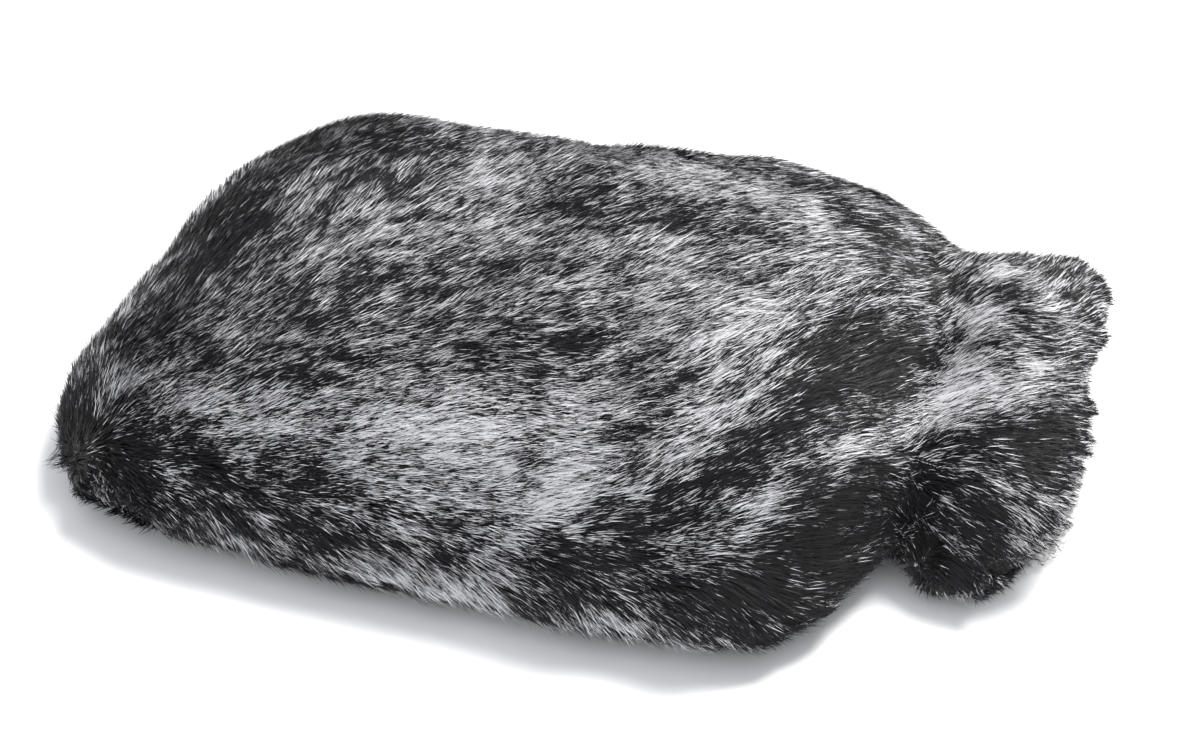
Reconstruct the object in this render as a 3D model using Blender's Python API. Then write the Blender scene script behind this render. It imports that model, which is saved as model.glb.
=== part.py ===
"""A long-pile fur cover for a hot water bottle, lying filled out on its back.

The cover is two hourglass panels of fur fabric, front and back, sewn together round the
sides and the bottom. It is drawn in at the neck and flares into an open collar, which is
where the bottle goes in. Each panel is one closed solid that takes in the cloth and the
pile on it. Metres, +Z up, bottom end at -X, mouth at +X.
"""

import math
from collections import namedtuple

import bmesh
import bpy
import numpy as np
from mathutils import Vector, noise

MM = 0.001

# Driving dimensions
BOTTOM_END = -190 * MM  # outermost fur at the closed end
LIP_END = 188 * MM  # outermost fur at the mouth
SEAM_HEIGHT = 16 * MM  # the side seam lies low, where the filled cover bulges out most
SEAM_GAP = 0.3 * MM  # the panels meet face to face, this far apart

# Thickness of cloth and pile together
SIDE_WALL = 16 * MM
TOP_WALL = 13 * MM
BASE_WALL = 6 * MM  # the pile is pressed flat under the cover
END_WALL = 15 * MM
LIP_WALL = 4 * MM  # how far the pile stands out past the hem
LIP_ROLL_LENGTH = 12 * MM  # over this length the pile bends down at the lip, by the drop
LIP_ROLL_DROP = 7 * MM

# Sections across the cover, in millimetres. near and far are the half widths at -Y and +Y,
# crown is the height of the fur and under the height of the underside.
Section = namedtuple("Section", "name x near far crown under")
SECTIONS = (
    Section("bottom end", -190, 118.0, 119.0, 56, 0.0),
    Section("lower body", -120, 119.0, 120.0, 69, 0.0),
    Section("middle", -20, 120.5, 121.5, 77, 0.0),
    Section("upper body", 50, 121.5, 124.0, 78, 0.0),
    Section("shoulder", 82, 118.0, 124.0, 73, 0.0),
    Section("under shoulder", 106, 96.0, 122.0, 64, 1.5),
    Section("neck", 129, 63.0, 101.0, 52, 5.0),
    Section("collar root", 142, 69.0, 103.0, 56, 2.0),
    Section("collar", 160, 73.0, 105.0, 57, 0.0),
    Section("lip", 190, 73.0, 105.0, 50, 0.0),
)

# Rounded corners of the outline seen from above, in millimetres: quarter ellipses that
# reach this far along the cover and across it. side is -1 near and 1 far.
Corner = namedtuple("Corner", "name side along across")
BOTTOM_CORNERS = (Corner("near", -1, 66, 66), Corner("far", 1, 80, 78))
LIP_CORNERS = (Corner("near", -1, 56, 72), Corner("far", 1, 22, 24))
BOTTOM_ZONE = 95 * MM  # the rows shorten over this length at each end
LIP_ZONE = 60 * MM

# Folds that run from the drawn-in neck over the front, in millimetres: each follows an arc
# from start to end that bows sideways by bow. A positive rise is a ridge, a negative one a
# furrow, and reach is the half width.
Fold = namedtuple("Fold", "name start end bow rise reach")
FOLDS = (
    Fold("main ridge", (112, 40), (30, -112), -14, 5.0, 15),
    Fold("main furrow", (128, 14), (44, -118), -4, -6.0, 13),
    Fold("second ridge", (126, -46), (66, -110), -2, 5.0, 10),
    Fold("near hollow", (122, -66), (88, -112), 3, -5.0, 10),
    Fold("far ridge", (120, 66), (52, 104), 8, 3.0, 14),
    Fold("far furrow", (124, 50), (64, 72), 6, -3.5, 11),
    Fold("neck crease", (130, 74), (122, -66), 7, -5.0, 8),
    Fold("collar ridge", (140, 24), (186, 30), 2, 2.5, 14),
    Fold("collar furrow", (138, -16), (186, -8), -2, -2.5, 11),
    Fold("near collar ridge", (138, -44), (172, -52), -2, 2.5, 12),
    Fold("middle dip", (-60, 62), (-40, -40), 10, -2.5, 26),
    Fold("lower swell", (-130, 40), (-120, -70), 6, 2.5, 30),
    Fold("far swell", (-108, 78), (-66, 88), 0, 5.0, 26),
)
FOLD_INSIDE = 0.45  # how much of a fold shows on the inside of the cloth

# Lumps of the pile, and the locks that stand out round its rim
LUMP_SIZE = 19 * MM
LUMP_HEIGHT = 3.0 * MM
LUMP_STRETCH = 1.4  # the lumps are longer along the cover
LOCK_LENGTH = 4.5 * MM
LOCK_SWEEP = 2.0 * MM  # the pile lies towards the mouth
LOCK_SHARES = (1.0, 0.5, 0.2)  # how far a lock shows in the columns next to the rim
LOCK_SEED = 0.73

# Roundness of the sections: higher powers are squarer
TOP_ROUND = 3.0
TOP_END_ROUND = 2.3
BASE_ROUND = 8
BASE_END_ROUND = 8
BASE_FLAT = 1.12  # stretches the underside's flat middle towards its edges

# Grid of each panel: rows along the cover and columns across it. Every column of the back
# lies under a column of the front.
ROWS = 51
FRONT_COLUMNS = 35
BACK_COLUMNS = 18
CORNER_INSET = 1 - math.sqrt(0.5)  # of the middle of a quarter round, in radii

FUR_COLOUR = (0.10, 0.10, 0.11)
FUR_ROUGHNESS = 0.9


def clear_scene():
    for obj in list(bpy.data.objects):
        bpy.data.objects.remove(obj, do_unlink=True)


def column(name, x):
    """A column of SECTIONS at these places along the cover, on a smooth curve, in metres."""
    at = np.array([s.x for s in SECTIONS]) * MM
    value = np.array([getattr(s, name) for s in SECTIONS]) * MM
    slope = np.gradient(value, at)
    steps = np.diff(value)
    slope[1:-1][steps[:-1] * steps[1:] <= 0] = 0  # no overshoot at a widest or narrowest row
    i = np.clip(np.searchsorted(at, x) - 1, 0, len(at) - 2)
    gap = at[i + 1] - at[i]
    t = np.clip((x - at[i]) / gap, 0, 1)
    return (
        value[i] * (1 + 2 * t) * (1 - t) ** 2
        + slope[i] * gap * t * (1 - t) ** 2
        + value[i + 1] * t**2 * (3 - 2 * t)
        + slope[i + 1] * gap * t**2 * (t - 1)
    )


def round_off(t):
    """A quarter round's inset, in radii, at this share of its length."""
    return 1 - np.sqrt(1 - np.clip(t, 0, 1) ** 2)


def plan(along, across, wall, end_wall, lip_wall):
    """The place seen from above of each grid point, drawn in by a wall's thickness.

    along runs from 0 at the bottom end to 1 at the lip, across from -1 near to 1 far. The
    grid's four corners lie in the middle of the outline's rounded corners.
    """
    bottom, lip = BOTTOM_END + end_wall, LIP_END - lip_wall
    start = bottom + along * (lip - bottom)
    from_bottom = np.clip(1 - (start - bottom) / BOTTOM_ZONE, 0, 1)
    from_lip = np.clip(1 - (lip - start) / LIP_ZONE, 0, 1)
    ends = (
        (BOTTOM_CORNERS, BOTTOM_ZONE, from_bottom, 1),
        (LIP_CORNERS, LIP_ZONE, from_lip, -1),
    )
    x, reach = start.copy(), np.zeros_like(start)
    for corners, zone, share, inward in ends:
        for corner in corners:
            width = column(corner.name, start) - wall
            long, wide = corner.along * MM - wall, corner.across * MM - wall
            depth = share * (zone - CORNER_INSET * long)
            inset = wide * round_off(1 - (zone - depth) / long)
            out = np.abs(across) * (width - CORNER_INSET * wide)
            shift = long * round_off(1 - (width - out) / wide)
            here = across * corner.side > 0
            x += np.where(here, inward * share * shift, 0)
            reach += np.where(here, width / 2 - inset, 0)
    return x, across * reach


def end_cap(along, power):
    """How the height falls off over the closed end: 0 at the end's seam, 1 over the body."""
    end = np.clip(1 - along * (LIP_END - BOTTOM_END) / BOTTOM_ZONE, 0, 1)
    return np.sqrt(1 - end**power)


def lip_roll(along):
    """How the pile bends down at the lip: 0 on the collar, 1 at the lip."""
    return np.clip(1 - (1 - along) * (LIP_END - BOTTOM_END) / LIP_ROLL_LENGTH, 0, 1) ** 2


def fold_height(x, y, fold):
    """The rise of a fold at each place, seen from above."""
    start, end = np.array(fold.start) * MM, np.array(fold.end) * MM
    length = np.linalg.norm(end - start)
    way = (end - start) / length
    t = ((x - start[0]) * way[0] + (y - start[1]) * way[1]) / length
    bow = fold.bow * MM * np.sin(math.pi * np.clip(t, 0, 1))
    off = (y - start[1]) * way[0] - (x - start[0]) * way[1] - bow
    past = np.maximum(np.maximum(-t, t - 1), 0) * length
    reach = fold.reach * MM
    return fold.rise * MM * np.exp(-((off / reach) ** 2) - (past / reach) ** 2)


def lumps(x, y, z):
    """Uneven clumps of the pile, the same each time."""
    flat = [
        noise.noise(Vector((a / LUMP_STRETCH, b, c)) / LUMP_SIZE)
        for a, b, c in zip(x.ravel(), y.ravel(), z.ravel())
    ]
    return np.array(flat).reshape(x.shape) * LUMP_HEIGHT


def normals(place):
    """The direction in which each point of a grid faces."""
    along = np.gradient(place, axis=0)
    across = np.gradient(place, axis=1)
    facing = np.cross(along, across)
    return facing / np.maximum(np.linalg.norm(facing, axis=2, keepdims=True), 1e-9)


def with_locks(place):
    """Every other row and end column stands out at the rim as a lock of the pile."""
    place = place.copy()
    for turned in (place, place.transpose(1, 0, 2)):
        for edge, inward in ((0, 1), (-1, -1)):
            out = turned[:, edge] - turned[:, edge + 3 * inward]
            out[:, 2] = 0
            out /= np.linalg.norm(out, axis=1, keepdims=True)
            out[:, 0] += LOCK_SWEEP / LOCK_LENGTH
            for i in range(1, len(turned) - 1, 2):
                uneven = 0.75 + noise.noise(Vector((LOCK_SEED * i, edge, 0)))
                for step, share in enumerate(LOCK_SHARES):
                    turned[i, edge + step * inward] += out[i] * LOCK_LENGTH * uneven * share
    return place


def front_skin(along, across, outer):
    """The points of the front panel's outside or inside."""
    wall, end_wall, lip_wall = (0, 0, 0) if outer else (SIDE_WALL, END_WALL, LIP_WALL)
    x, y = plan(along, across, wall, end_wall, lip_wall)
    seam = SEAM_HEIGHT + SEAM_GAP / 2
    crown = column("crown", x) - (0 if outer else TOP_WALL)
    over = np.sqrt(1 - np.abs(across) ** TOP_ROUND) * end_cap(along, TOP_END_ROUND)
    rise = sum(fold_height(x, y, fold) for fold in FOLDS)
    if outer:
        crown = crown - lip_roll(along) * LIP_ROLL_DROP
        rise = rise + lumps(x, y, seam + (crown - seam) * over)
    else:
        rise = rise * FOLD_INSIDE
    place = np.stack([x, y, seam + (crown - seam) * over], axis=2)
    free = np.clip(over / 0.35, 0, 1)  # the seam itself stays in place
    place = place + normals(place) * (rise * free)[:, :, None]
    return with_locks(place) if outer else place


def back_skin(along, across, outer):
    """The points of the back panel's outside or inside. It is flat where it rests."""
    wall, end_wall, lip_wall = (0, 0, 0) if outer else (SIDE_WALL, END_WALL, LIP_WALL)
    x, y = plan(along, across, wall, end_wall, lip_wall)
    seam = SEAM_HEIGHT - SEAM_GAP / 2
    under = column("under", x) + (0 if outer else BASE_WALL)
    down = np.sqrt(1 - np.abs(across) ** BASE_ROUND) * end_cap(along, BASE_END_ROUND)
    z = seam - (seam - under) * np.minimum(down * BASE_FLAT, 1)
    place = np.stack([x, y, z], axis=2)
    return with_locks(place) if outer else place


def rows_along():
    """Where the rows lie: closer together over the closed end and from the neck on."""
    even = np.linspace(0, 1, ROWS)
    dense, reached = 0.3, 0.22  # this share of the rows covers this share of the length
    start = reached * (1 - np.cos(np.clip(even / dense, 0, 1) * math.pi / 2))
    rest = reached + (1 - reached) * np.clip((even - dense) / (1 - dense), 0, 1) ** 0.86
    return np.where(even < dense, start, rest)


def columns_across(count):
    """Where the columns lie: closer together towards both side seams."""
    gathered = 0.75
    angle = np.linspace(-math.pi / 2, math.pi / 2, count)
    return gathered * np.sin(angle) + (1 - gathered) * np.linspace(-1, 1, count)


def panel(name, skin, columns):
    """A closed panel: a flat slab of grid squares, whose two faces take the two skins."""
    grid = np.meshgrid(rows_along(), columns_across(columns), indexing="ij")
    skins = {True: skin(*grid, True), False: skin(*grid, False)}
    bm = bmesh.new()
    bmesh.ops.create_grid(bm, x_segments=ROWS - 1, y_segments=columns - 1, size=0.5)
    made = bmesh.ops.extrude_face_region(bm, geom=bm.faces[:])["geom"]
    raised = [v for v in made if isinstance(v, bmesh.types.BMVert)]
    bmesh.ops.translate(bm, verts=raised, vec=(0, 0, 1))
    for v in bm.verts:
        i = round((v.co.x + 0.5) * (ROWS - 1))
        j = round((v.co.y + 0.5) * (columns - 1))
        v.co = skins[v.co.z > 0.5][i, j]
    bmesh.ops.recalc_face_normals(bm, faces=bm.faces[:])
    mesh = bpy.data.meshes.new(name)
    bm.to_mesh(mesh)
    bm.free()
    mesh.shade_smooth()
    return bpy.data.objects.new(name, mesh)


def fur_material():
    material = bpy.data.materials.new("fur")
    material.use_nodes = True
    shader = material.node_tree.nodes["Principled BSDF"]
    shader.inputs["Base Color"].default_value = (*FUR_COLOUR, 1)
    shader.inputs["Roughness"].default_value = FUR_ROUGHNESS
    shader.inputs["Metallic"].default_value = 0
    return material


def centre(objects):
    """Moves the meshes so that the origin is at the bottom centre of the whole cover."""
    points = np.array([v.co for obj in objects for v in obj.data.vertices])
    low, high = points.min(axis=0), points.max(axis=0)
    shift = Vector((-(low[0] + high[0]) / 2, -(low[1] + high[1]) / 2, -low[2]))
    for obj in objects:
        for v in obj.data.vertices:
            v.co += shift


def main():
    clear_scene()
    cover = bpy.data.collections.new("hot_water_bottle_cover")
    bpy.context.scene.collection.children.link(cover)
    front = panel("front_panel", front_skin, FRONT_COLUMNS)
    back = panel("back_panel", back_skin, BACK_COLUMNS)
    centre([front, back])
    fur = fur_material()
    for obj in (front, back):
        obj.data.materials.append(fur)
        cover.objects.link(obj)


main()
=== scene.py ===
import functools
import math

import bmesh
import bpy
import numpy as np
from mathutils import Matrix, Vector, noise
from mathutils.bvhtree import BVHTree


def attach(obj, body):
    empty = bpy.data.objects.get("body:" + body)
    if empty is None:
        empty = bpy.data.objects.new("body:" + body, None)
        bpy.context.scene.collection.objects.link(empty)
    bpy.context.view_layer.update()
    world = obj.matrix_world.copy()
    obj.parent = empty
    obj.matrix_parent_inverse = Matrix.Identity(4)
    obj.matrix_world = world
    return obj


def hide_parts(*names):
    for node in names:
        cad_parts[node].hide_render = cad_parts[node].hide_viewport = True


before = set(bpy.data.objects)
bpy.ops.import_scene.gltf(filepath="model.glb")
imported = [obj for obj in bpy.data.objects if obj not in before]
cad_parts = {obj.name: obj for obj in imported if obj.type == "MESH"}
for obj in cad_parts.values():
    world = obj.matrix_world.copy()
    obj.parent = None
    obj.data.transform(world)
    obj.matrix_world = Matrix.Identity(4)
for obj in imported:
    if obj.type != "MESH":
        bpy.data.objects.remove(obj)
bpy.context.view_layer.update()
scene = bpy.context.scene

# The stand and the studio: the cover lies on a smooth white table, seen from its near
# long side and 41 degrees above. A soft light high up beyond it and to the right makes
# the top bright and leaves the near side in shade, which a pale room fills.
SEEN_FROM = (15.1, 41.4)  # degrees round from the near side, and up
SEEN_AT = Vector((0.0005, -0.002, 0.017))
DISTANCE = 0.676
LENS = 52.8  # mm, on a sensor 36 mm wide
TABLE = 6  # m from its middle to each edge
ROOM_GLOW = 0.6


def linear(code, alpha=1.0):
    """An sRGB hex colour as linear values."""
    parts = [int(code[i : i + 2], 16) / 255 for i in (1, 3, 5)]
    return (*[c / 12.92 if c <= 0.04045 else ((c + 0.055) / 1.055) ** 2.4 for c in parts], alpha)


def add_node(tree, kind, links=(), **settings):
    """Adds a node with its settings. links gives its inputs a value, a socket or a node, either by
    their names or in the order in which the node shows them. A node gives the first output it shows."""
    node = tree.nodes.new(kind)
    for key, value in settings.items():
        setattr(node, key, value)
    shown = [socket for socket in node.inputs if socket.enabled]
    for key, value in links.items() if isinstance(links, dict) else enumerate(links):
        socket = node.inputs[key] if isinstance(key, str) else shown[key]
        if isinstance(value, bpy.types.Node):
            value = next(output for output in value.outputs if output.enabled)
        if isinstance(value, bpy.types.NodeSocket):
            tree.links.new(value, socket)
        else:
            socket.default_value = value
    return node


def new_material(name):
    """An empty material, and the function that adds a node to it."""
    made = bpy.data.materials.new(name)
    made.use_nodes = True
    made.node_tree.nodes.clear()
    return made, functools.partial(add_node, made.node_tree)


def direction(azimuth, elevation):
    """The unit vector that points round from the near side and up, by degrees."""
    a, e = math.radians(azimuth), math.radians(elevation)
    return Vector((math.sin(a) * math.cos(e), -math.cos(a) * math.cos(e), math.sin(e)))


camera = bpy.data.objects.new("camera", bpy.data.cameras.new("camera"))
camera.data.lens = LENS
camera.data.sensor_width = 36
camera.data.clip_start = 0.01
camera.location = SEEN_AT + direction(*SEEN_FROM) * DISTANCE
camera.rotation_euler = direction(*SEEN_FROM).to_track_quat("Z", "Y").to_euler()
scene.collection.objects.link(camera)
scene.camera = camera

for name, azimuth, elevation, away, size, power, tint in (
    ("key light", 140, 66, 1.3, 0.5, 24, "#fffdfa"),
    ("sky light", 30, 78, 1.6, 1.6, 7, "#f4f8ff"),
    ("front light", -25, 24, 1.7, 1.2, 5, "#f6f8ff"),
):
    lamp = bpy.data.lights.new(name, "AREA")
    lamp.size, lamp.energy, lamp.color = size, power, linear(tint)[:3]
    lamp_object = bpy.data.objects.new(name, lamp)
    lamp_object.location = direction(azimuth, elevation) * away
    lamp_object.rotation_euler = direction(azimuth, elevation).to_track_quat("Z", "Y").to_euler()
    scene.collection.objects.link(lamp_object)

world = bpy.data.worlds.new("studio")
world.use_nodes = True
world.node_tree.nodes["Background"].inputs["Color"].default_value = linear("#f3f5f8")
world.node_tree.nodes["Background"].inputs["Strength"].default_value = ROOM_GLOW
scene.world = world
scene.view_settings.view_transform = "Standard"

floor_mesh = bpy.data.meshes.new("table top")
floor_mesh.from_pydata(
    [(-TABLE, -TABLE, 0), (TABLE, -TABLE, 0), (TABLE, TABLE, 0), (-TABLE, TABLE, 0)], [], [(0, 1, 2, 3)]
)
floor = bpy.data.objects.new("table_top", floor_mesh)
scene.collection.objects.link(floor)
# White laminate, pressed with a matt face: a plain pale ground with next to no gloss.
white_laminate, add = new_material("white laminate")
shader = add("ShaderNodeBsdfPrincipled", {"Base Color": linear("#fbfbfb"), "Roughness": 0.75})
add("ShaderNodeOutputMaterial", {"Surface": shader})
floor_mesh.materials.append(white_laminate)

# The front and back cloths: two hourglass panels of knitted fur fabric, cut alike and sewn
# to each other round the sides and the closed end, drawn in at the neck and flared at the
# collar. They are filled out as in use, and open at the mouth, where the hem is turned.
MM = 0.001
SEAM = 0.016  # height of the seam that joins the two cloths
PILE = 0.0058  # how deep the lying fur is over the cloth
CLOTH_SHARE = 0.45  # at least this share of a thin wall is cloth
MIDDLE = (-0.128, 0.135)  # from where to where the bag's middle line runs along X
NECK_TURN = (0.05, 0.08, 0.017)  # where that line turns to the far side, over what length, and how far
LIP_FROM = 0.13  # where the lip of the mouth may begin
FLARE_FROM = 0.15  # where the collar flares
# Cosines that tell the parts of a cloth: its outside, in all and where the collar flares,
# the inside of the back, the lip of the mouth, and the underside.
OUTSIDE, OUTSIDE_FLARED, INSIDE_BACK, LIP, UNDERSIDE = 0.1, 0.25, 0.35, 0.72, -0.7
# Where the cloth is drawn in further: ends of a stroke in mm (x, y, z), how wide it is, and how far.
DRAWN_IN = (
    ((-184, 14, 33), (-173, 54, 41), 13, 3.4), ((-76, 95, 60), (-30, 91, 61), 13, 2.6),
    ((122, -72, 8), (127, -60, 12), 9, 4.0),
)


def strokes(place, table, base):
    """The sum at each point of a table's soft strokes."""
    total = np.full(len(place), float(base))
    for start, end, width, gain in table:
        a, b = np.array(start) * MM, np.array(end) * MM
        t = np.clip(((place - a) @ (b - a)) / max(((b - a) ** 2).sum(), 1e-9), 0, 1)
        gap = ((place - a - t[:, None] * (b - a)) ** 2).sum(1)
        total += gain * np.exp(-gap / (width * MM) ** 2)
    return total


def middle(place):
    """The nearest point of the bag's middle line. The neck and collar sit to the far side."""
    turns_at, turns_over, turns_by = NECK_TURN
    x = min(max(place.x, MIDDLE[0]), MIDDLE[1])
    t = min(max((x - turns_at) / turns_over, 0), 1)
    return Vector((x, turns_by * t * t * (3 - 2 * t), SEAM))


def looks_out(face):
    """Whether a face of a solid is on its outside, and not inside, on its seam or at its mouth."""
    centre, facing = face.calc_center_median(), face.normal
    inside = centre.z < SEAM and facing.z > INSIDE_BACK
    at_mouth = centre.x > LIP_FROM and facing.x > LIP
    limit = OUTSIDE if centre.x < FLARE_FROM or facing.z < UNDERSIDE else OUTSIDE_FLARED
    return facing.dot((centre - middle(centre)).normalized()) > limit and not inside and not at_mouth


def solid_mesh(side):
    """A merged copy of a panel's solid, in squares, with its outside marked as material 0."""
    mesh = bmesh.new()
    mesh.from_mesh(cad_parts[side + "_panel"].data)
    bmesh.ops.remove_doubles(mesh, verts=mesh.verts, dist=0.02 * MM)
    bmesh.ops.join_triangles(
        mesh, faces=mesh.faces, angle_face_threshold=math.radians(50), angle_shape_threshold=math.radians(60)
    )
    mesh.normal_update()
    for face in mesh.faces:
        face.material_index = 0 if looks_out(face) else 1
    return mesh


def even_out(mesh, verts):
    """Moves each of the vertices half way to the mean of those round it."""
    bmesh.ops.smooth_vert(mesh, verts=verts, factor=0.5, use_axis_x=True, use_axis_y=True, use_axis_z=True)


def as_object(mesh, name):
    """A new object of a bmesh, which is freed."""
    data = bpy.data.meshes.new(name)
    mesh.to_mesh(data)
    mesh.free()
    data.shade_smooth()
    made = bpy.data.objects.new(name, data)
    scene.collection.objects.link(made)
    return made


def rounded(made):
    """The object with its mesh divided once into smaller and rounder squares."""
    rounder = made.modifiers.new("rounder", "SUBSURF")
    rounder.levels = rounder.render_levels = 1
    ready = made.evaluated_get(bpy.context.evaluated_depsgraph_get())
    data = bpy.data.meshes.new_from_object(ready)
    made.modifiers.clear()
    old, made.data = made.data, data
    data.name = made.name
    bpy.data.meshes.remove(old)
    return made


def panel_cloth(side):
    """A panel's cloth: its solid, with the outside sunk by the depth of the pile."""
    mesh = solid_mesh(side)
    solid = BVHTree.FromBMesh(mesh)
    sunk = {}
    for v in mesh.verts:
        facing = sum((f.normal * f.calc_area() for f in v.link_faces if f.material_index == 0), Vector())
        if facing.length > 0:
            facing.normalize()
            through = solid.ray_cast(v.co - facing * (0.4 * MM), -facing)[3] or 2 * PILE
            depth = PILE + strokes(np.array([v.co]), DRAWN_IN, 0)[0] * MM
            sunk[v] = v.co - facing * min(depth, (1 - CLOTH_SHARE) * through)
    for v, place in sunk.items():
        v.co = place
    even_out(mesh, list(sunk))
    # The seam's own edges stay sharp, so that the two cloths still meet along them.
    crease = mesh.edges.layers.float.new("crease_edge")
    for edge in mesh.edges:
        edge[crease] = float(all(abs(v.co.z - SEAM) < MM for v in edge.verts))
    made = rounded(as_object(mesh, side + "_cloth"))
    for v in made.data.vertices:
        v.co.z = max(v.co.z, 0)
    return made


# Acrylic underfur, brushed flat: a dense dark grey wool under the long hairs, dull, with faint specks
# between the locks. Its near-black is partly the fibre's charcoal and partly painted shade, for the shade
# that falls deep in the pile. The specks are drawn 2.4 mm across, as the real ones, of a few tenths of a
# millimetre, are too fine to show.
UNDERFUR_SPECK = 1 / 420
underfur_and_pile_shade, add = new_material("brushed acrylic underfur")
place = add("ShaderNodeTexCoord").outputs["Object"]
grain = add("ShaderNodeTexNoise", {"Vector": place, "Scale": 1 / UNDERFUR_SPECK, "Detail": 4})
# Painted shade: the underfur's near-black stands partly for the shade deep in the pile.
tone = add("ShaderNodeMix", (grain, linear("#121213"), linear("#2a2a2b")), data_type="RGBA")
bump = add("ShaderNodeBump", {"Strength": 0.6, "Distance": 0.0006, "Height": grain})
shader = add("ShaderNodeBsdfPrincipled", {"Base Color": tone, "Roughness": 0.9, "Normal": bump})
add("ShaderNodeOutputMaterial", {"Surface": shader})

# Polyester warp knit, the ground that holds the pile: mid grey, dull, and ribbed. Its ribs
# are drawn 3.2 mm apart, about twice as far as real ones, so that they show at the mouth.
RIB, STITCH_ROW = 0.003206, 0.002513
WAVE = math.tau / 20  # m after which a wave of scale 1 repeats
knit, add = new_material("polyester knit backing")
place = add("ShaderNodeTexCoord").outputs["Object"]
waves = [
    add(
        "ShaderNodeTexWave", {"Vector": place, "Scale": WAVE / apart, "Distortion": 0.6, "Detail": 1},
        bands_direction=across,
    ).outputs["Fac"]
    for apart, across in ((RIB, "Y"), (STITCH_ROW, "X"))
]
height = add("ShaderNodeMath", waves, operation="MULTIPLY")
tone = add("ShaderNodeMix", (height, linear("#58585a"), linear("#8e8e90")), data_type="RGBA")
bump = add("ShaderNodeBump", {"Strength": 0.5, "Distance": 0.0004, "Height": height})
shader = add("ShaderNodeBsdfPrincipled", {"Base Color": tone, "Roughness": 0.85, "Normal": bump})
add("ShaderNodeOutputMaterial", {"Surface": shader})

cloths = {}
for side in ("front", "back"):
    cloths[side] = panel_cloth(side)
    cloths[side].data.materials.append(underfur_and_pile_shade)
    cloths[side].data.materials.append(knit)
    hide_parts(side + "_panel")
    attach(cloths[side], "root")

# The long fur: acrylic guard hairs, charcoal at the root and silver at the tip, knitted
# into the cloth and brushed to lie along the bag towards the neck. They are set hair by
# hair over the cloth, bent along it, and gathered into locks a few millimetres wide.
HAIR = 0.015
HAIR_WIDTH = 0.00038
FRONT_HAIRS, BACK_HAIRS = 3.15e6, 1.5e6  # per square metre
FRONT_FRINGE, BACK_FRINGE = 0.0038, 0.001  # how far the tips reach past the mouth
SHORTEST = 0.003
STAND = 1.2  # mm from the solid out to the tips
LOWEST = 0.4  # mm from the table up to the lowest tips
THIN_PILE = 0.0028  # how deep the fur is underneath and at the mouth
THINS_OVER = 0.02  # how far from the mouth it starts to thin out
MOUTH_FROM = 0.12  # beyond this an open edge of the skin is the mouth's
NEAR_MOUTH = 0.1  # and beyond this the way to it counts
UNDERNEATH = 0.65  # the share of the hairs that is missing underneath
UNDERNEATH_FROM, UNDERNEATH_OVER = 0.5, 0.3  # how far the skin faces down there, and where it does so fully
EVENING = 2  # how often the skin that the tips lie on is evened out
COMB_REACH = 0.015  # how far a comb has its full say
COMB_FADE = 0.05  # over what length the rest of it fades
TONE, DRIFT, DRIFT_SIZE = 0.11, 0.14, 0.04  # the silver's mean, how much it wanders, and over what length
LEAST_TONE, MOST_TONE = -0.35, 0.95
# Locks: the share of the hairs that leads one, what is added to the seed, and how far the
# tips are drawn to the leading hair.
LOCKS = ((0.18, 11, 0.7), (0.015, 12, 0.25))
LOCK_SHADE = 0.3  # how much the small locks differ in silver
TUFT_SHADE, TUFT_TURN = 0.08, 0.12  # and the large ones in silver and in lie
STREAK_SHARE, STREAK_SALT, STREAK_SHADE = 0.06, 13, 0.13
STREAK_STEPS = (-0.006, -0.003, 0, 0.003, 0.006)  # a streak runs this far along the lie
DARK_SHARE, DARK_SHADE = 0.2, -0.55  # hairs with hardly any silver
BRIGHT_SHARE, BRIGHT_SHADE = 0.06, 0.28  # and those with more
STRAY = 5  # the higher, the fewer hairs stand up
STRAY_RISE = 0.0035
ROOT_BEND = 1.8  # how soon a hair lies down after its root
SPREAD = 0.22  # how far the lower hairs lie in the pile, as a share of its depth
# A hair's map holds its share of silver across, painted highlights and painted shade included, and the way
# from its root to its tip along.
MAP_EDGE, MAP_WIDTH = 0.03, 0.0007  # how far hairs keep from its sides, and how wide they are on it
MAP_LENGTH, MAP_START = 0.98, 0.01

# What the skin under the hairs tells them: the lie of the pile, which way the skin faces, the pile's depth,
# its silver with painted highlights and painted shade, the way to the mouth, and how thick the hairs stand.
SKIN_MARKS = {
    "lie": "FLOAT_VECTOR", "facing": "FLOAT_VECTOR", "depth": "FLOAT", "tone": "FLOAT", "rim": "FLOAT",
    "thick": "FLOAT",
}
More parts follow.
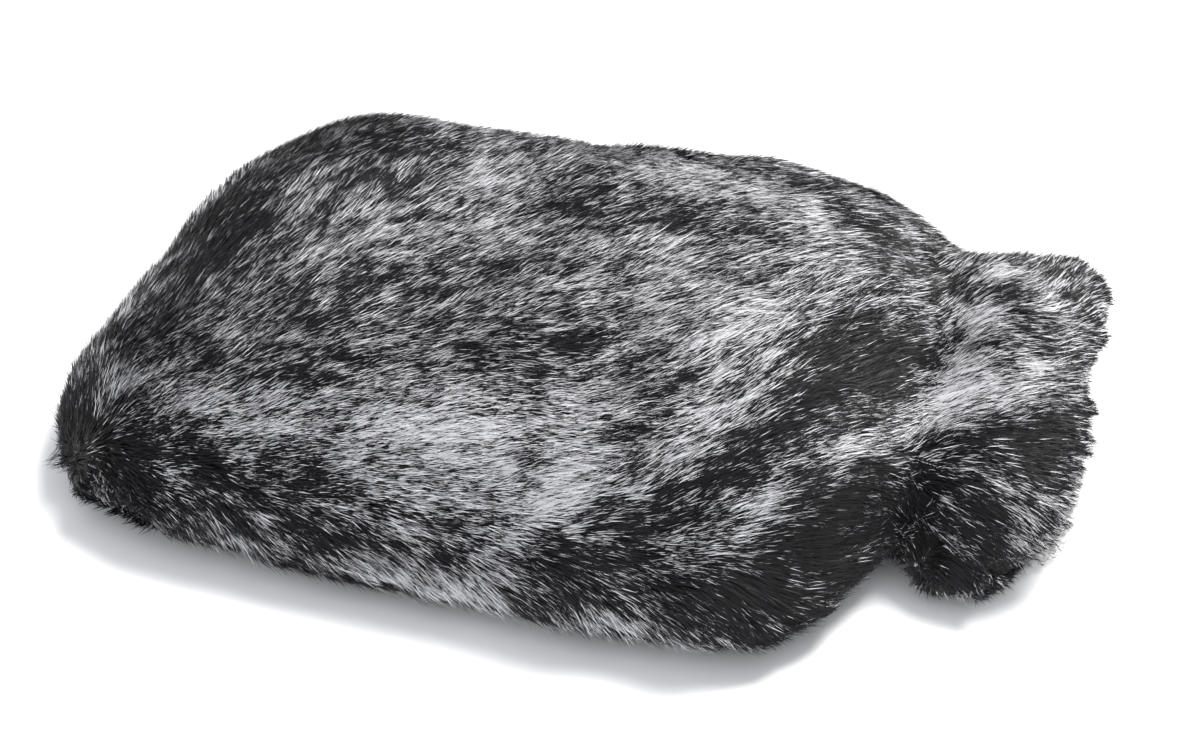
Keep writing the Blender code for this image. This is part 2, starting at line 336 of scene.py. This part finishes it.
# How the pile lies: place in mm, which way round from +X towards +Y, and how far it rises.
COMBS = (
    (-190, -40, 18, 80, 0), (-190, 0, 18, 85, 0), (-188, 40, 18, 80, 0), (-184, -40, 6, 50, -8),
    (-184, 0, 6, 50, -8), (-182, 40, 6, 45, -8), (-180, 60, 30, 95, -5), (-172, 4, 45, 24, 17),
    (-170, 0, 0, 0, 0), (-168, -92, 33, 58, -21), (-154, 65, 51, 21, 40), (-151, -81, 50, 5, 27),
    (-150, -108, 22, -106, 20), (-150, -38, 58, 39, 14), (-139, -111, 35, 35, -19),
    (-130, 112, 30, 70, -20), (-122, 48, 68, 24, 45), (-120, 60, 0, 10, 0), (-120, -60, 0, -10, 0),
    (-116, -120, 28, 60, -38), (-108, -84, 62, 30, -8), (-108, 13, 72, 63, 45), (-105, -44, 72, 39, -10),
    (-81, -108, 47, 12, 4), (-79, -123, 18, -29, -10), (-78, -12, 75, 28, -45), (-63, 62, 69, 32, 45),
    (-60, 118, 40, 35, -30), (-60, 124, 12, 20, -40), (-55, -76, 67, 5, 20), (-52, -30, 72, 23, 35),
    (-51, 27, 74, 25, -45), (-42, -121, 27, 20, -13), (-29, -102, 55, 15, 0), (-24, 2, 75, 18, -7),
    (-23, -126, 14, 42, -34), (-20, -70, 70, -7, 20), (-13, 34, 76, 22, 45), (-6, 82, 66, -41, 6),
    (-6, -119, 35, 19, -6), (0, 60, 0, 8, 0), (0, -60, 0, -8, 0), (6, -98, 60, -19, 39), (8, -44, 76, 8, 9),
    (13, 8, 78, 26, 23), (20, 120, 42, 30, -30), (20, 126, 12, 15, -40), (24, 43, 77, 8, 45),
    (30, -124, 28, 59, -33), (37, -15, 79, 17, 45), (39, -95, 66, 2, 45), (44, -112, 42, 34, -15),
    (48, 19, 77, 7, -45), (60, 60, 71, -12, -1), (63, -53, 75, 28, 39), (70, 112, 40, 20, -30),
    (74, -101, 60, 21, 27), (78, -115, 33, -30, -23), (78, 70, 68, 10, -8), (84, 34, 73, 15, 29),
    (91, -11, 67, 55, -15), (91, -98, 40, 40, -18), (96, 95, 54, -30, -10), (99, -53, 62, 25, 26),
    (100, 104, 30, 40, -30), (100, 40, 0, 0, 0), (100, -40, 0, 0, 0), (109, -93, 18, 10, 10),
    (118, -57, 50, 50, -38), (119, 78, 48, 25, -2), (122, 49, 49, 28, 24), (123, -70, 20, 84, -10),
    (129, 0, 45, 1, 24), (134, -51, 49, -11, -5), (141, 48, 53, -1, 45), (143, 16, 56, -6, 31),
    (150, 104, 26, 55, -15), (156, -68, 27, -23, -23), (160, 54, 52, 66, -30), (160, 20, 2, 0, 0),
    (165, -26, 54, 15, -7), (174, -47, 10, 16, -36), (178, 66, 47, 59, -29), (180, 92, 24, 35, -10),
    (181, 8, 50, 38, -18),
)
# Where the hairs show more of their silver, and where they stay dark. This is partly the real pile and
# partly painted highlights on the ridges that face the light, with painted shade in the hollows, at the neck
# and along the near side. Ends of a stroke in mm (x, y, z), how wide it is, and how much it adds.
SILVER_AND_PAINTED_LIGHT = (
    ((-186, 62, 20), (-191, -10, 12), 15, 0.22), ((-186, -20, 24), (-178, -80, 8), 12, 0.15),
    ((-150, 106, 38), (-80, 119, 26), 20, 0.22), ((-130, -50, 0), (-30, -66, 0), 24, 0.28),
    ((-125, -65, 66), (-108, -29, 71), 10, 0.16), ((-106, -97, 55), (-145, -81, 53), 10, 0.27),
    ((-87, -10, 74), (-130, 13, 67), 19, 0.26), ((-70, 40, 0), (50, 64, 0), 24, 0.24),
    ((-62, -50, 72), (-59, -9, 74), 7, 0.19), ((-53, -122, 18), (-4, -124, 16), 5, 0.38),
    ((-50, 119, 40), (30, 123, 22), 15, 0.28), ((-42, 3, 73), (-53, 39, 72), 14, 0.39),
    ((-39, -97, 59), (5, -96, 61), 19, 0.56), ((-36, -121, 26), (-4, -124, 16), 5, 0.31),
    ((-30, -85, 67), (-90, -94, 57), 14, 0.35), ((-11, 72, 70), (26, 56, 75), 14, 0.28),
    ((-6, -45, 76), (-64, -35, 72), 10, 0.12), ((-5, -84, 68), (37, -75, 74), 5, 0.28),
    ((6, -31, 76), (-16, -36, 75), 5, 0.24), ((14, 6, 78), (36, -2, 80), 14, 0.26),
    ((18, -108, 55), (-19, -124, 20), 7, 0.52), ((18, -73, 71), (33, -47, 78), 7, 0.14),
    ((18, -108, 55), (29, -93, 68), 5, 0.3), ((33, 59, 74), (77, 50, 71), 19, 0.31),
    ((50, -123, 18), (40, -123, 23), 5, 0.32), ((50, 121, 12), (98, 108, 34), 12, 0.2),
    ((52, -47, 82), (83, -8, 74), 5, 0.44), ((55, -85, 63), (15, -62, 74), 5, 0.41),
    ((60, -40, 0), (120, 10, 0), 18, 0.2), ((68, -16, 81), (29, -29, 79), 19, 0.32),
    ((74, -57, 67), (29, -93, 68), 14, 0.31), ((80, -102, 53), (88, -83, 65), 5, 0.58),
    ((83, 31, 73), (94, -10, 65), 14, 0.22), ((104, -70, 61), (128, -29, 46), 5, 0.29),
    ((126, 88, 14), (160, 100, 16), 13, 0.22), ((138, -16, 50), (136, 7, 47), 5, 0.72),
    ((139, 2, 52), (147, 58, 53), 7, 0.5), ((146, 23, 58), (106, 44, 64), 7, 0.33),
    ((147, -13, 55), (128, -29, 46), 10, 0.56), ((150, -30, 0), (170, 60, 0), 16, 0.2),
    ((160, -16, 55), (165, 0, 56), 5, 0.3), ((165, 0, 56), (165, 52, 53), 10, 0.16),
    ((180, -47, 38), (172, -55, 39), 5, 0.38), ((-143, -26, 62), (-151, 24, 60), 19, -0.33),
    ((-140, -115, 28), (-185, -77, 23), 19, -0.28), ((-114, -7, 71), (-100, 25, 72), 7, -0.24),
    ((-107, -67, 68), (-65, -31, 73), 7, -0.21), ((-87, -56, 71), (-62, -76, 68), 14, -0.16),
    ((-86, -121, 22), (-113, -105, 48), 7, -0.19), ((-82, 49, 73), (-133, 75, 60), 19, -0.14),
    ((-58, -111, 46), (-37, -82, 67), 7, -0.17), ((5, -96, 61), (-19, -124, 20), 5, -0.37),
    ((5, -96, 61), (13, -45, 76), 7, -0.15), ((21, -119, 41), (78, -116, 32), 14, -0.15),
    ((24, -118, 45), (31, -124, 26), 7, -0.27), ((32, -90, 69), (39, -71, 75), 7, -0.45),
    ((40, 25, 77), (40, 25, 77), 14, -0.27), ((76, -84, 63), (61, -86, 61), 7, -0.37),
    ((89, -107, 30), (117, -62, 43), 19, -0.34), ((103, -22, 60), (83, -71, 65), 10, -0.44),
    ((103, -100, 21), (129, -65, 19), 10, -0.18), ((106, 44, 64), (145, 43, 56), 10, -0.39),
    ((120, -21, 50), (132, -41, 49), 5, -0.39), ((136, 7, 47), (86, -21, 68), 14, -0.33),
    ((168, -38, 52), (149, -71, 17), 14, -0.24), ((179, -21, 52), (168, -38, 52), 7, -0.35),
)
# Where the pile stands out further over the cloth or lies flatter, in the same way, in mm.
STANDS = (
    ((-130, -122, 14), (-84, -122, 12), 12, 0.4), ((-80, -122, 10), (-52, -122, 8), 12, 3.6),
    ((-44, -122, 9), (-34, -123, 9), 10, 1.6), ((-24, -123, 10), (10, -125, 10), 11, 2.8),
    ((20, -125, 12), (44, -127, 12), 10, 1.8), ((84, -116, 12), (60, -124, 12), 10, -0.4),
    ((94, -111, 10), (102, -106, 10), 8, 1.8), ((108, -95, 14), (114, -86, 14), 9, 0.2),
    ((-172, -98, 22), (-164, -106, 18), 10, 2.8), ((-182, -80, 26), (-186, -60, 28), 12, 1.2),
    ((-170, -52, 44), (-170, -28, 44), 11, 2.0), ((-184, 14, 33), (-172, 56, 42), 12, -2.0),
    ((-136, 66, 61), (-112, 74, 67), 12, -2.2), ((-76, 95, 60), (-20, 90, 61), 13, -2.4),
    ((20, 82, 67), (50, 86, 66), 14, 1.2), ((60, 84, 66), (100, 86, 56), 10, -3.2),
    ((122, -71, 10), (126, -62, 12), 8, -3.0), ((134, -68, 6), (142, -68, 6), 6, 4.0),
    ((146, -68, 10), (154, -70, 10), 8, 0.8), ((160, -65, 5), (163, -62, 5), 5, 4.0),
    ((112, 84, 52), (124, 82, 46), 9, 2.4), ((133, 88, 38), (147, 90, 40), 8, -1.6),
    ((158, 94, 38), (172, 92, 36), 9, 0.4), ((176, 86, 36), (183, 72, 43), 9, 5.0),
    ((187, 46, 43), (187, 46, 43), 9, 2.5), ((172, -44, 4), (187, -12, 4), 11, -4.4),
    ((189, -6, 40), (188, 10, 40), 10, -2.0),
)


def pile_lie(place, facing):
    """Unit vectors along the pile at each point, from the nearest combs, laid on the surface."""
    found = np.zeros_like(place)
    for x, y, z, round_by, rise in COMBS:
        a, r = math.radians(round_by), math.radians(rise)
        gap = ((place - np.array((x, y, z)) * MM) ** 2).sum(1)
        weight = np.exp(-gap / COMB_REACH**2) + 1e-4 / (gap / COMB_FADE**2 + 0.05)
        comb = np.array((math.cos(r) * math.cos(a), math.cos(r) * math.sin(a), math.sin(r)))
        found += weight[:, None] * comb
    found -= facing * (found * facing).sum(1)[:, None]
    return found / np.maximum(np.linalg.norm(found, axis=1), 1e-9)[:, None]


def points_of(skin):
    """A skin's points and the directions that they face, as arrays."""
    found = []
    for key in ("co", "normal"):
        values = np.empty(len(skin.data.vertices) * 3, np.float32)
        skin.data.vertices.foreach_get(key, values)
        found.append(values.reshape(-1, 3).astype(float))
    return found


def groom_surface():
    """What the hair tips lie on: the outside of both solids in one evened-out skin."""
    whole = bmesh.new()
    for side in ("front", "back"):
        mesh = solid_mesh(side)
        bmesh.ops.delete(mesh, geom=[f for f in mesh.faces if f.material_index], context="FACES")
        part = as_object(mesh, side)
        whole.from_mesh(part.data)
        bpy.data.objects.remove(part)
    bmesh.ops.remove_doubles(whole, verts=whole.verts, dist=0.6 * MM)
    loose = [v for v in whole.verts if not v.is_boundary]
    for _ in range(EVENING):
        even_out(whole, loose)
    made = rounded(as_object(whole, "groom"))
    place, facing = points_of(made)
    place += facing * (strokes(place, STANDS, STAND) - strokes(place, DRAWN_IN, 0))[:, None] * MM
    place[:, 2] = np.maximum(place[:, 2], LOWEST * MM)
    made.data.vertices.foreach_set("co", place.astype(np.float32).ravel())
    made.data.update()
    return made


def mark(skin):
    """Stores what the skin tells the hairs on its points."""
    place, facing = points_of(skin)
    mesh = bmesh.new()
    mesh.from_mesh(skin.data)
    mouth = np.array([v.co for v in mesh.verts if v.is_boundary and v.co.x > MOUTH_FROM])
    mesh.free()
    rim = np.array([np.sqrt(((mouth - p) ** 2).sum(1).min()) if p[0] > NEAR_MOUTH else 1.0 for p in place])
    under = np.clip((-facing[:, 2] - UNDERNEATH_FROM) / UNDERNEATH_OVER, 0, 1)
    drift = np.array([noise.fractal(Vector(p) / DRIFT_SIZE, 0.8, 2.0, 3) for p in place])
    told = {
        "lie": pile_lie(place, facing),
        "facing": facing,
        "depth": PILE - (PILE - THIN_PILE) * np.maximum(under, np.clip(1 - rim / THINS_OVER, 0, 1)),
        # The silver: the strokes, which include painted highlights and painted shade, plus a random drift.
        "tone": np.clip(strokes(place, SILVER_AND_PAINTED_LIGHT, TONE) + DRIFT * drift, LEAST_TONE, MOST_TONE),
        "rim": rim,
        "thick": 1 - UNDERNEATH * under,
    }
    for key, kind in SKIN_MARKS.items():
        layer = skin.data.attributes.new(key, kind, "POINT").data
        values = told[key].astype(np.float32).ravel()
        layer.foreach_set("vector" if kind == "FLOAT_VECTOR" else "value", values)


def part_of(skin, name, wanted):
    """A copy of the faces of a skin whose centres are wanted."""
    mesh = bmesh.new()
    mesh.from_mesh(skin.data)
    others = [f for f in mesh.faces if not wanted(f.calc_center_median())]
    bmesh.ops.delete(mesh, geom=others, context="FACES")
    return as_object(mesh, name)


groom = groom_surface()
mark(groom)

# One hair: a kite of two triangles that is widest past its middle.
hair_mesh = bpy.data.meshes.new("hair")
hair_mesh.from_pydata([(0, 0, 0), (1, -1, 0), (1, 1, 0), (2, 0, 0)], [], [(0, 1, 2), (1, 3, 2)])
for name, values in (("along", (0, 0.6, 0.6, 1)), ("side", (0, -1, 1, 0))):
    hair_mesh.attributes.new(name, "FLOAT", "POINT").data.foreach_set("value", values)
hair = bpy.data.objects.new("hair", hair_mesh)
scene.collection.objects.link(hair)

# Acrylic fibre, spun fine and glossy. It is charcoal for most of its length, darkest at the root as painted
# shade for the depth of the pile, with a silver-grey tip that is longer on some hairs than on others, so the
# coat looks streaked. The tips are also longer under painted highlights and shorter under painted shade.
SILVER_FROM = 1.12  # how far along a hair with no share of silver it would begin
SILVER_GAIN = 1.1  # how much nearer to the root it begins with a full share
SILVER_BLEND = (-0.02, 0.1)  # over what part of its length a hair turns silver
fibre, add = new_material("silver tipped acrylic fibre")
where = add("ShaderNodeSeparateXYZ", (add("ShaderNodeUVMap", uv_map="OFBake"),)).outputs
begins = add("ShaderNodeMath", (where["X"], -SILVER_GAIN, SILVER_FROM), operation="MULTIPLY_ADD")
past = add("ShaderNodeMath", (where["Y"], begins), operation="SUBTRACT")
tipping = add("ShaderNodeMapRange", (past, *SILVER_BLEND), interpolation_type="SMOOTHSTEP")
# Painted shade: the charcoal darkens towards the root, for the shade deep in the pile.
body = add("ShaderNodeMix", (where["Y"], linear("#0c0c0d"), linear("#242426")), data_type="RGBA")
tone = add("ShaderNodeMix", (tipping, body, linear("#e0e0e3")), data_type="RGBA")
shader = add("ShaderNodeBsdfPrincipled", {"Base Color": tone, "Roughness": 0.45, "Specular IOR Level": 0.2})
add("ShaderNodeOutputMaterial", {"Surface": shader})


def fur_tree():
    """Sets hairs over a piece of skin, lays each along the groom, and gathers them in locks."""
    tree = bpy.data.node_groups.new("lay fur", "GeometryNodeTree")
    for name, kind in (
        ("Skin", "Geometry"), ("Groom", "Object"), ("Hair", "Object"), ("Hairs per square metre", "Float"),
        ("Length", "Float"), ("Width", "Float"), ("Fringe", "Float"), ("Seed", "Int"), ("Fibre", "Material"),
    ):
        tree.interface.new_socket(name, in_out="INPUT", socket_type="NodeSocket" + kind)
    tree.interface.new_socket("Fur", in_out="OUTPUT", socket_type="NodeSocketGeometry")
    add = functools.partial(add_node, tree)
    MATH, VECTOR = "ShaderNodeMath", "ShaderNodeVectorMath"
    given = add("NodeGroupInput").outputs
    here = add("GeometryNodeInputPosition")
    told = {}
    for name, kind in SKIN_MARKS.items():
        told[name] = add("GeometryNodeInputNamedAttribute", {"Name": name}, data_type=kind)

    # The roots, and what differs from hair to hair: least, most, and what is added to the seed.
    thickness = add(MATH, (given["Hairs per square metre"], told["thick"]), operation="MULTIPLY")
    strands = add(
        "GeometryNodeDistributePointsOnFaces",
        {"Mesh": given["Skin"], "Density": thickness, "Seed": given["Seed"]},
    )
    chance = {}
    for name, least, most, salt in (
        ("turn", -0.16, 0.16, 1), ("end", -0.003, 0.002, 2), ("length", 0.72, 1.12, 3),
        ("shade", -0.15, 0.15, 4), ("roll", -0.7, 0.7, 5), ("stray", 0, 1, 6), ("sink", 0, 1, 7),
        ("dark", 0, 1, 8), ("bright", 0, 1, 9),
    ):
        seed = add(MATH, (given["Seed"], salt), operation="ADD")
        limits = {"Min": least, "Max": most, "Seed": seed}
        chance[name] = add("FunctionNodeRandomValue", limits, data_type="FLOAT")

    # Locks and tufts: each hair leans to the nearest leading hair and takes its shade.
    pulls, shades = [], []
    for share, salt, pull in LOCKS:
        density = add(MATH, (given["Hairs per square metre"], share), operation="MULTIPLY")
        seed = add(MATH, (given["Seed"], salt), operation="ADD")
        leaders = add(
            "GeometryNodeDistributePointsOnFaces",
            {"Mesh": given["Skin"], "Density": density, "Seed": seed},
        )
        which = add(
            "GeometryNodeSampleNearest", {"Geometry": leaders, "Sample Position": here}, domain="POINT"
        )
        leader = add(
            "GeometryNodeSampleIndex", {"Geometry": leaders, "Value": here, "Index": which},
            data_type="FLOAT_VECTOR", domain="POINT",
        )
        towards = add(VECTOR, (leader, here), operation="SUBTRACT")
        pulls.append(add(VECTOR, (towards, pull), operation="SCALE"))
        seed = add(MATH, (given["Seed"], salt + 10), operation="ADD")
        limits = {"Min": -1, "Max": 1, "ID": which, "Seed": seed}
        shades.append(add("FunctionNodeRandomValue", limits, data_type="FLOAT"))
    lock_shade, tuft_shade = shades

    # Streaks: what the nearest spots bring, summed some way back and forth along the lie.
    density = add(MATH, (given["Hairs per square metre"], STREAK_SHARE), operation="MULTIPLY")
    seed = add(MATH, (given["Seed"], STREAK_SALT), operation="ADD")
    spots = add(
        "GeometryNodeDistributePointsOnFaces", {"Mesh": given["Skin"], "Density": density, "Seed": seed}
    )
    seed = add(MATH, (given["Seed"], STREAK_SALT + 10), operation="ADD")
    streak = 0.0
    for step in STREAK_STEPS:
        onward = add(VECTOR, (told["lie"], step), operation="SCALE")
        spot = add(VECTOR, (here, onward), operation="ADD")
        which = add(
            "GeometryNodeSampleNearest", {"Geometry": spots, "Sample Position": spot}, domain="POINT"
        )
        limits = {"Min": -STREAK_SHADE, "Max": STREAK_SHADE, "ID": which, "Seed": seed}
        value = add("FunctionNodeRandomValue", limits, data_type="FLOAT")
        streak = add(MATH, (streak, value), operation="ADD")

    # A hair's way over the skin, which ends a little past the mouth, and its share of silver.
    angle = add(MATH, (tuft_shade, TUFT_TURN, chance["turn"]), operation="MULTIPLY_ADD")
    turned = add(
        "ShaderNodeVectorRotate", {"Vector": told["lie"], "Axis": told["facing"], "Angle": angle},
        rotation_type="AXIS_ANGLE",
    )
    turned = add(VECTOR, (turned,), operation="NORMALIZE")
    away = add(MATH, (told["rim"], given["Fringe"]), operation="ADD")
    away = add(MATH, (away, chance["end"]), operation="ADD")
    away = add(MATH, (away, SHORTEST), operation="MAXIMUM")
    length = add(MATH, (given["Length"], chance["length"]), operation="MULTIPLY")
    length = add(MATH, (length, away), operation="MINIMUM")
    odd = []
    for name, share, change in (("dark", DARK_SHARE, DARK_SHADE), ("bright", BRIGHT_SHARE, BRIGHT_SHADE)):
        picked = add(MATH, (chance[name], share), operation="LESS_THAN")
        odd.append(add(MATH, (picked, change), operation="MULTIPLY"))
    single = add(MATH, (chance["shade"], add(MATH, odd, operation="ADD")), operation="ADD")
    shared = add(MATH, (tuft_shade, TUFT_SHADE, streak), operation="MULTIPLY_ADD")
    shared = add(MATH, (lock_shade, LOCK_SHADE, shared), operation="MULTIPLY_ADD")
    silver = add(MATH, (shared, single), operation="ADD")
    hair_marks = {
        "root": ("FLOAT_VECTOR", here),
        "run": ("FLOAT_VECTOR", add(VECTOR, (turned, length), operation="SCALE")),
        "gather": ("FLOAT_VECTOR", add(VECTOR, pulls, operation="ADD")),
        "shade": ("FLOAT", silver),
        "roll": ("FLOAT", chance["roll"]),
        "stand": ("FLOAT", add(MATH, (chance["stray"], STRAY), operation="POWER")),
        "sink": ("FLOAT", chance["sink"]),
    }
    for name, (kind, value) in hair_marks.items():
        strands = add(
            "GeometryNodeStoreNamedAttribute", {"Geometry": strands, "Name": name, "Value": value},
            data_type=kind, domain="POINT",
        )
    one_hair = add("GeometryNodeObjectInfo", {"Object": given["Hair"]}).outputs["Geometry"]
    strands = add("GeometryNodeInstanceOnPoints", {"Points": strands, "Instance": one_hair})
    strands = add("GeometryNodeRealizeInstances", (strands,))

    # The hair's points: along its way and drawn to its lock, then set over the skin below.
    own = {}
    kinds = {name: kind for name, (kind, value) in hair_marks.items()}
    for name, kind in {**kinds, "along": "FLOAT", "side": "FLOAT"}.items():
        own[name] = add("GeometryNodeInputNamedAttribute", {"Name": name}, data_type=kind)
    squared = add(MATH, (own["along"], own["along"]), operation="MULTIPLY")
    way = add(VECTOR, (own["run"], own["along"]), operation="SCALE")
    drawn = add(VECTOR, (own["gather"], squared), operation="SCALE")
    guess = add(VECTOR, (own["root"], way), operation="ADD")
    guess = add(VECTOR, (guess, drawn), operation="ADD")
    ground = add("GeometryNodeObjectInfo", {"Object": given["Groom"]}).outputs["Geometry"]
    nearest = add(
        "GeometryNodeProximity", {"Geometry": ground, "Sample Position": guess}, target_element="FACES"
    )
    below = {}
    for name in ("facing", "depth", "tone"):
        below[name] = add(
            "GeometryNodeSampleNearestSurface",
            {"Mesh": ground, "Value": told[name], "Sample Position": guess}, data_type=SKIN_MARKS[name],
        )
    up = add(VECTOR, (below["facing"],), operation="NORMALIZE")
    off = add(VECTOR, (guess, nearest), operation="SUBTRACT")
    over = add(VECTOR, (off, up), operation="DOT_PRODUCT")

    # How far the hair is under the skin of the tips, at its root and all along, or stands up.
    to_tip = add(MATH, (1.0, own["along"]), operation="SUBTRACT")
    rooted = add(MATH, (to_tip, ROOT_BEND), operation="POWER")
    sunk = add(MATH, (own["sink"], SPREAD), operation="MULTIPLY")
    lower = add(MATH, (rooted, sunk), operation="ADD")
    lower = add(MATH, (below["depth"], lower), operation="MULTIPLY")
    raised = add(MATH, (own["stand"], STRAY_RISE), operation="MULTIPLY")
    raised = add(MATH, (raised, squared), operation="MULTIPLY")
    rise = add(MATH, (raised, lower), operation="SUBTRACT")
    rise = add(MATH, (rise, over), operation="SUBTRACT")

    # Its blade is turned a little about the hair, and lies no lower than the table.
    left = add(VECTOR, (up, own["run"]), operation="CROSS_PRODUCT")
    left = add(VECTOR, (left,), operation="NORMALIZE")
    cosine = add(MATH, (own["roll"],), operation="COSINE")
    sine = add(MATH, (own["roll"],), operation="SINE")
    level = add(VECTOR, (left, cosine), operation="SCALE")
    upright = add(VECTOR, (up, sine), operation="SCALE")
    leaning = add(VECTOR, (level, upright), operation="ADD")
    half = add(MATH, (own["side"], 0.5), operation="MULTIPLY")
    half = add(MATH, (given["Width"], half), operation="MULTIPLY")
    risen = add(VECTOR, (up, rise), operation="SCALE")
    final = add(VECTOR, (guess, risen), operation="ADD")
    aside = add(VECTOR, (leaning, half), operation="SCALE")
    final = add(VECTOR, (final, aside), operation="ADD")
    final = add(VECTOR, (final, (-TABLE, -TABLE, 0.2 * MM)), operation="MAXIMUM")
    laid = add("GeometryNodeSetPosition", {"Geometry": strands, "Position": final})

    # Its map, and an end to what only this tree needs.
    # The silver of the skin below, with its painted highlights and painted shade, is added to the hair's
    # own.
    silver = add(MATH, (own["shade"], below["tone"]), operation="ADD")
    silver = add("ShaderNodeClamp", (silver, MAP_EDGE, 1 - MAP_EDGE))
    across = add(MATH, (own["side"], MAP_WIDTH, silver), operation="MULTIPLY_ADD")
    lengthwise = add(MATH, (own["along"], MAP_LENGTH, MAP_START), operation="MULTIPLY_ADD")
    chart = add("ShaderNodeCombineXYZ", (across, lengthwise))
    laid = add(
        "GeometryNodeStoreNamedAttribute", {"Geometry": laid, "Name": "OFBake", "Value": chart},
        data_type="FLOAT2", domain="CORNER",
    )
    for name in (*own, *SKIN_MARKS):
        laid = add("GeometryNodeRemoveAttribute", {"Geometry": laid, "Name": name})
    laid = add("GeometryNodeRealizeInstances", (laid,))
    laid = add("GeometryNodeSetMaterial", {"Geometry": laid, "Material": given["Fibre"]})
    add("NodeGroupOutput", (laid,))
    return tree


lay_fur = fur_tree()


def grow(name, skin, thickness, fringe, seed):
    """The hairs of one piece of skin as a plain mesh. Their tips reach past the mouth by the fringe."""
    modifier = skin.modifiers.new("fur", "NODES")
    modifier.node_group = lay_fur
    wanted = {
        "Groom": groom, "Hair": hair, "Hairs per square metre": thickness, "Length": HAIR,
        "Width": HAIR_WIDTH, "Fringe": fringe, "Seed": seed, "Fibre": fibre,
    }
    for item in lay_fur.interface.items_tree:
        if item.in_out == "INPUT" and item.name in wanted:
            modifier[item.identifier] = wanted[item.name]
    skin.update_tag()
    bpy.context.view_layer.update()
    ready = skin.evaluated_get(bpy.context.evaluated_depsgraph_get())
    data = bpy.data.meshes.new_from_object(ready)
    data.name = name
    data.materials.clear()
    data.materials.append(fibre)
    data.shade_smooth()
    bpy.data.objects.remove(skin)
    made = bpy.data.objects.new(name, data)
    scene.collection.objects.link(made)
    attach(made, "root")
    return made


# The fur of the front is grown in four pieces along the bag, and that of the back in one:
# name, cloth, from and to along X, hairs per square metre, and fringe.
share = 1.0
fur = {"front": [], "back": []}
for name, side, low, high, thickness, fringe in (
    ("fur_closed_end", "front", -0.3, -0.098, FRONT_HAIRS, FRONT_FRINGE),
    ("fur_body", "front", -0.098, -0.008, FRONT_HAIRS, FRONT_FRINGE),
    ("fur_shoulder", "front", -0.008, 0.08, FRONT_HAIRS, FRONT_FRINGE),
    ("fur_collar", "front", 0.08, 0.3, FRONT_HAIRS, FRONT_FRINGE),
    ("fur_back", "back", -0.3, 0.3, BACK_HAIRS, BACK_FRINGE),
):
    bare = part_of(groom, name + "_skin", lambda c: low <= c.x < high and (c.z > SEAM) == (side == "front"))
    fur[side].append(grow(name, bare, share * thickness, fringe, len(fur["front"]) + 1))

for helper in (groom, hair):
    bpy.data.objects.remove(helper)
